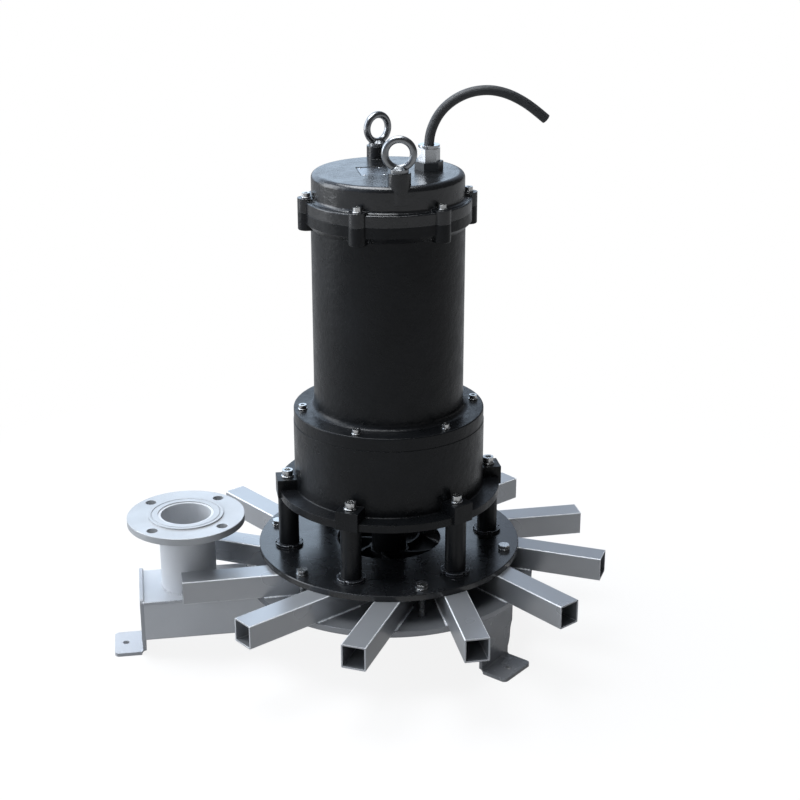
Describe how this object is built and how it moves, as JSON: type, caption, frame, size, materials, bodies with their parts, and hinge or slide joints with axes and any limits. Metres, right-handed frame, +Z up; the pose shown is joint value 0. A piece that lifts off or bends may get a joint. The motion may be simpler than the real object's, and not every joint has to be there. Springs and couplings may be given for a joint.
{
  "type": "submersible aerator",
  "caption": "Submersible aerator: a sealed motor with an oil chamber stands on columns over an impeller ringed by skewed square outlet tubes, fed with air by a flanged duct.",
  "frame": {"origin": "on the floor under the motor's axis", "axes": "+Z up along the shaft; the air duct lies along -X; +Y to the machine's rear"},
  "size_m": [0.83, 0.714, 0.9321],
  "materials": {
    "motor_paint": "glossy black paint on cast iron and steel",
    "plate_paint": "high-gloss black paint on steel plate",
    "tube_steel": "ground square steel tube",
    "duct_paint": "light grey satin paint on steel",
    "stainless": "turned stainless steel",
    "eye_steel": "bright plated forged steel",
    "gland_nickel": "nickel-plated brass",
    "gland_plastic": "black moulded plastic",
    "cable_sheath": "matt dark grey rubber sheath",
    "seal_rubber": "black seal rubber",
    "plate_metal": "bare brushed aluminium",
    "core_steel": "stacked electrical sheet steel",
    "winding_copper": "varnished copper winding",
    "shaft_steel": "ground steel",
    "bearing_steel": "polished bearing steel",
    "cast_housing": "machined grey iron",
    "seal_ceramic": "lapped seal rings",
    "impeller_iron": "machined grey iron"
  },
  "bodies": {
    "machine": {"motor_top_cover": "motor_paint", "cover_seal_ring": "seal_rubber", "nameplate": "plate_metal", "eye_bolt_front": "eye_steel", "eye_bolt_rear": "eye_steel", "gland_body": "gland_plastic", "gland_nut": "gland_nickel", "gland_seal": "seal_rubber", "power_cable": "cable_sheath", "cover_screws": "stainless", "motor_housing": "motor_paint", "upper_bearing_bracket": "cast_housing", "stator_core": "core_steel", "stator_winding": "winding_copper", "upper_bearing_outer_ring": "bearing_steel", "lower_bearing_outer_ring": "bearing_steel", "bearing_carrier": "cast_housing", "carrier_seal_ring": "seal_rubber", "motor_flange_screws": "stainless", "oil_chamber": "motor_paint", "upper_seal_seat": "seal_ceramic", "lower_seal_seat": "seal_ceramic", "oil_plug": "stainless", "column_screws": "stainless", "support_columns": "motor_paint", "column_lock_nuts": "motor_paint", "suction_plate": "plate_paint", "plate_bolts": "stainless", "plate_washers": "stainless", "plate_nuts": "stainless", "mixing_ring": "tube_steel", "bottom_plate": "duct_paint", "air_duct": "duct_paint", "inlet_pipe": "duct_paint", "inlet_flange": "duct_paint", "duct_foot": "duct_paint", "front_foot": "duct_paint", "rear_foot": "duct_paint", "outlet_tube_01": "tube_steel", "outlet_tube_02": "tube_steel", "outlet_tube_03": "tube_steel", "outlet_tube_04": "tube_steel", "outlet_tube_05": "tube_steel", "outlet_tube_06": "tube_steel", "outlet_tube_07": "tube_steel", "outlet_tube_08": "tube_steel", "outlet_tube_09": "tube_steel", "outlet_tube_10": "tube_steel", "outlet_tube_11": "tube_steel", "outlet_tube_12": "tube_steel"},
    "rotor": {"motor_shaft": "shaft_steel", "rotor_core": "core_steel", "upper_bearing_inner_ring": "bearing_steel", "lower_bearing_inner_ring": "bearing_steel", "upper_seal_head": "seal_ceramic", "lower_seal_head": "seal_ceramic", "impeller": "impeller_iron", "impeller_nut": "stainless"},
    "upper_balls": {"upper_bearing_balls": "bearing_steel"},
    "lower_balls": {"lower_bearing_balls": "bearing_steel"}
  },
  "joints": [
    {"name": "shaft_spin", "type": "hinge", "parent": "machine", "child": "rotor", "pos_m": [0, 0, 0.5], "axis": [0, 0, 1], "continuous": true},
    {"name": "upper_balls_orbit", "type": "hinge", "parent": "machine", "child": "upper_balls", "pos_m": [0, 0, 0.6915], "axis": [0, 0, 1], "continuous": true},
    {"name": "lower_balls_orbit", "type": "hinge", "parent": "machine", "child": "lower_balls", "pos_m": [0, 0, 0.4075], "axis": [0, 0, 1], "continuous": true}
  ],
  "couplings": [
    {"joint": "upper_balls_orbit", "follows": "shaft_spin", "ratio": 0.3846},
    {"joint": "lower_balls_orbit", "follows": "shaft_spin", "ratio": 0.3793}
  ]
}
